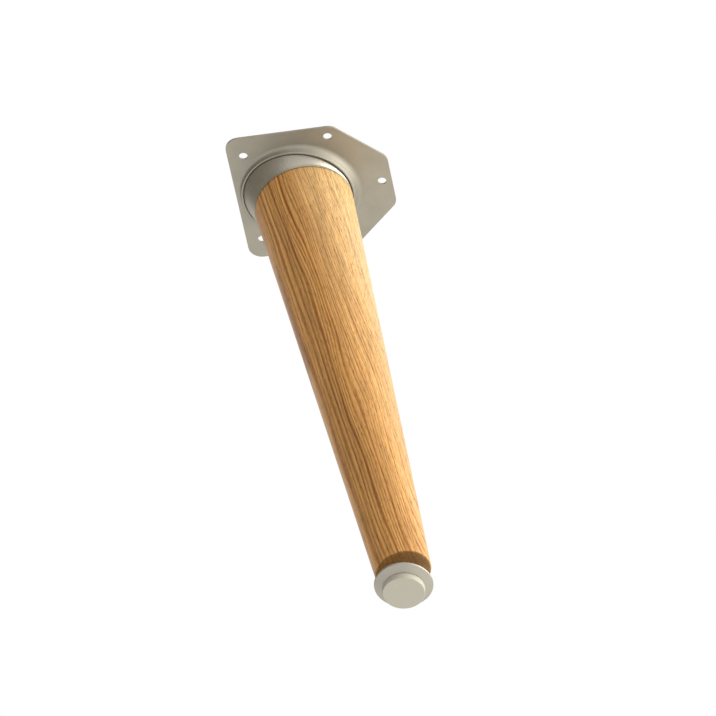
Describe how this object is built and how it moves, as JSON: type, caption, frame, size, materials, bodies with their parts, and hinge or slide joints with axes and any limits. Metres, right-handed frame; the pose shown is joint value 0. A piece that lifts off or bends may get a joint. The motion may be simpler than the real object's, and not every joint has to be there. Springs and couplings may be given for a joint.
{
  "type": "wooden furniture leg",
  "caption": "Splayed tapered oak leg on a pressed steel mounting plate with cut corners, with a levelling foot that screws in and out of its lower end.",
  "frame": {"origin": "on the plate's mounting face, at the centre of its round mouth, where the leg's axis meets the face", "axes": "+Z out of the mounting face, up into the furniture; the leg hangs down and leans towards +X, where the plate's two corners are cut off; the part is symmetric about the XZ plane"},
  "size_m": [0.1093, 0.09, 0.3449],
  "materials": {
    "plate_steel": "satin nickel plated",
    "cup_steel": "satin nickel plated",
    "fastener_steel": "zinc plated",
    "oak": "clear oiled oak",
    "spindle_steel": "zinc plated",
    "flange_steel": "satin nickel plated",
    "pad_nylon": "moulded grey nylon"
  },
  "bodies": {
    "leg": {"mounting_plate": "plate_steel", "angle_cup": "cup_steel", "cup_nut": "fastener_steel", "hanger_bolt": "fastener_steel", "wooden_leg": "oak", "threaded_insert": "fastener_steel"},
    "glide": {"glide_pad": "pad_nylon"},
    "spindle": {"foot_spindle": "spindle_steel", "foot_flange": "flange_steel"}
  },
  "joints": [
    {"name": "foot_height", "type": "slide", "parent": "leg", "child": "glide", "axis": [0, 0, -1], "range_m": [-0.005, 0.01]},
    {"name": "foot_turn", "type": "hinge", "parent": "glide", "child": "spindle", "pos_m": [0.05673, 0, -0.34489], "axis": [0, 0, -1], "range_deg": [-1440, 2880]}
  ],
  "couplings": [
    {"joint": "foot_height", "follows": "foot_turn", "m_per_rad": 0.00019894}
  ]
}
